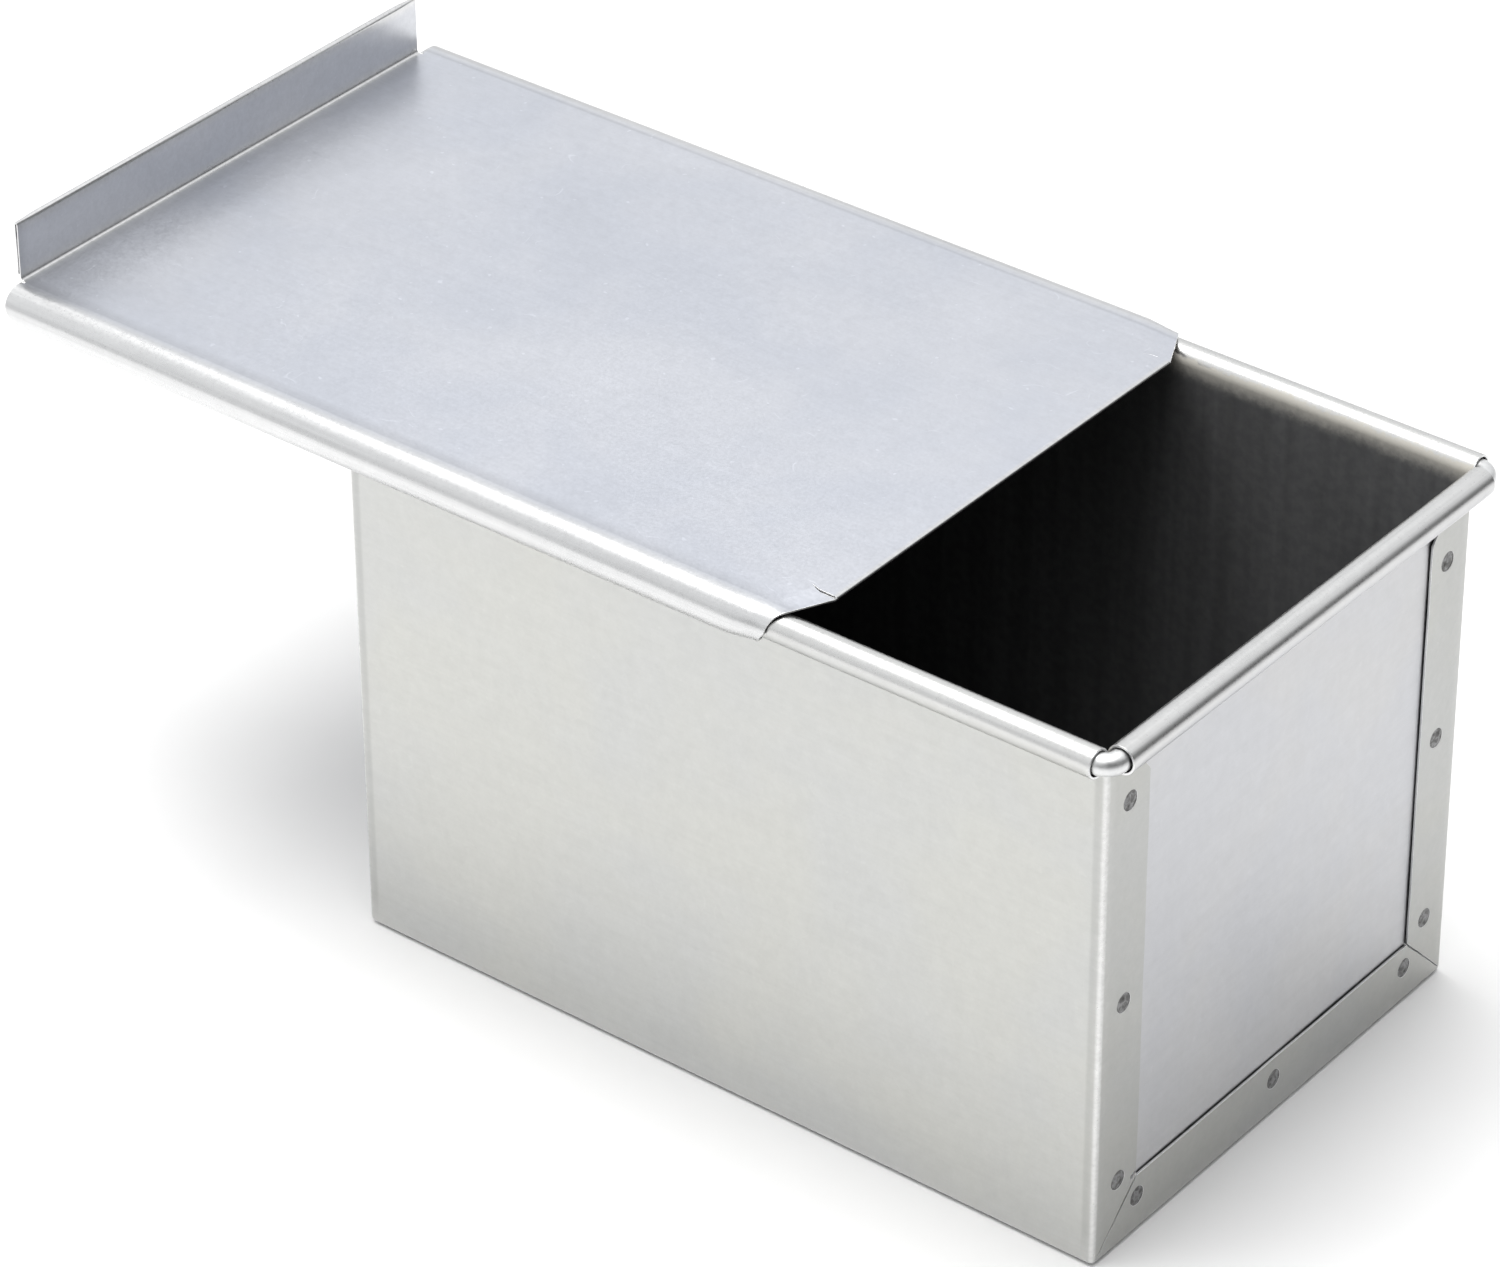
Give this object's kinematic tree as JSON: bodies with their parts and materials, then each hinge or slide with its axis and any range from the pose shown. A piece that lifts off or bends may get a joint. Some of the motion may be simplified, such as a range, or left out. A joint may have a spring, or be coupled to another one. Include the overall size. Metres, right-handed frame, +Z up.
{
  "type": "lidded loaf pan",
  "caption": "Square sandwich-loaf pan of coated sheet steel with a wired rim, spot-welded ends and a sliding lid with an upstand to pull.",
  "frame": {"origin": "centre of the flat underside of the pan, on the surface that it stands on", "axes": "+Z up, X along the pan with the front end at +X and the lid sliding off at -X, +Y to the left"},
  "size_m": [0.2726, 0.1346, 0.1342],
  "materials": {
    "pan_sheet": "satin, aluminium-silicon coated",
    "lid_sheet": "satin, aluminium-silicon coated",
    "rim_wire": "drawn bright wire",
    "weld": "dull, heat-marked"
  },
  "bodies": {
    "pan": {"body_wrapper": "pan_sheet", "front_end_panel": "pan_sheet", "rear_end_panel": "pan_sheet", "rim_wire": "rim_wire", "front_left_welds": "weld", "front_right_welds": "weld", "front_bottom_welds": "weld", "rear_left_welds": "weld", "rear_right_welds": "weld", "rear_bottom_welds": "weld"},
    "lid": {"lid": "lid_sheet"}
  },
  "joints": [
    {"name": "lid_slide", "type": "slide", "parent": "pan", "child": "lid", "axis": [1, 0, 0], "range_m": [-0.126, 0.075]}
  ]
}
